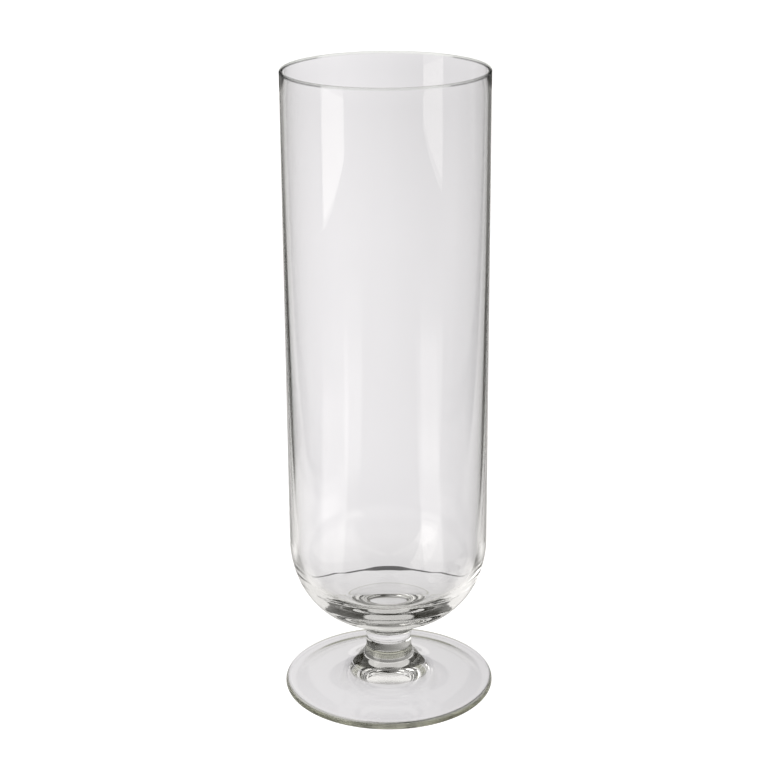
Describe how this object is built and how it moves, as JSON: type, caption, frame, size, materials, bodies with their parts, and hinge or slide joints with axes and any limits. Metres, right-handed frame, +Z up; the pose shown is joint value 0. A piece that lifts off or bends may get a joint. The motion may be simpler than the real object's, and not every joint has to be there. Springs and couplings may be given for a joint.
{
  "type": "footed highball glass",
  "caption": "Tall straight-sided clear drinking glass with a thick rounded base, standing on a short waisted stem and a round foot.",
  "frame": {"origin": "on the table, under the middle of the foot", "axes": "+Z up along the axis of the glass; X and Y are level and alike, because the glass is round"},
  "size_m": [0.0668, 0.0668, 0.2],
  "materials": {
    "bowl_glass": "clear, fire-polished",
    "stem_glass": "clear, fire-polished",
    "foot_glass": "clear, fire-polished"
  },
  "bodies": {
    "root": {"bowl": "bowl_glass", "stem": "stem_glass", "foot": "foot_glass"}
  },
  "joints": []
}
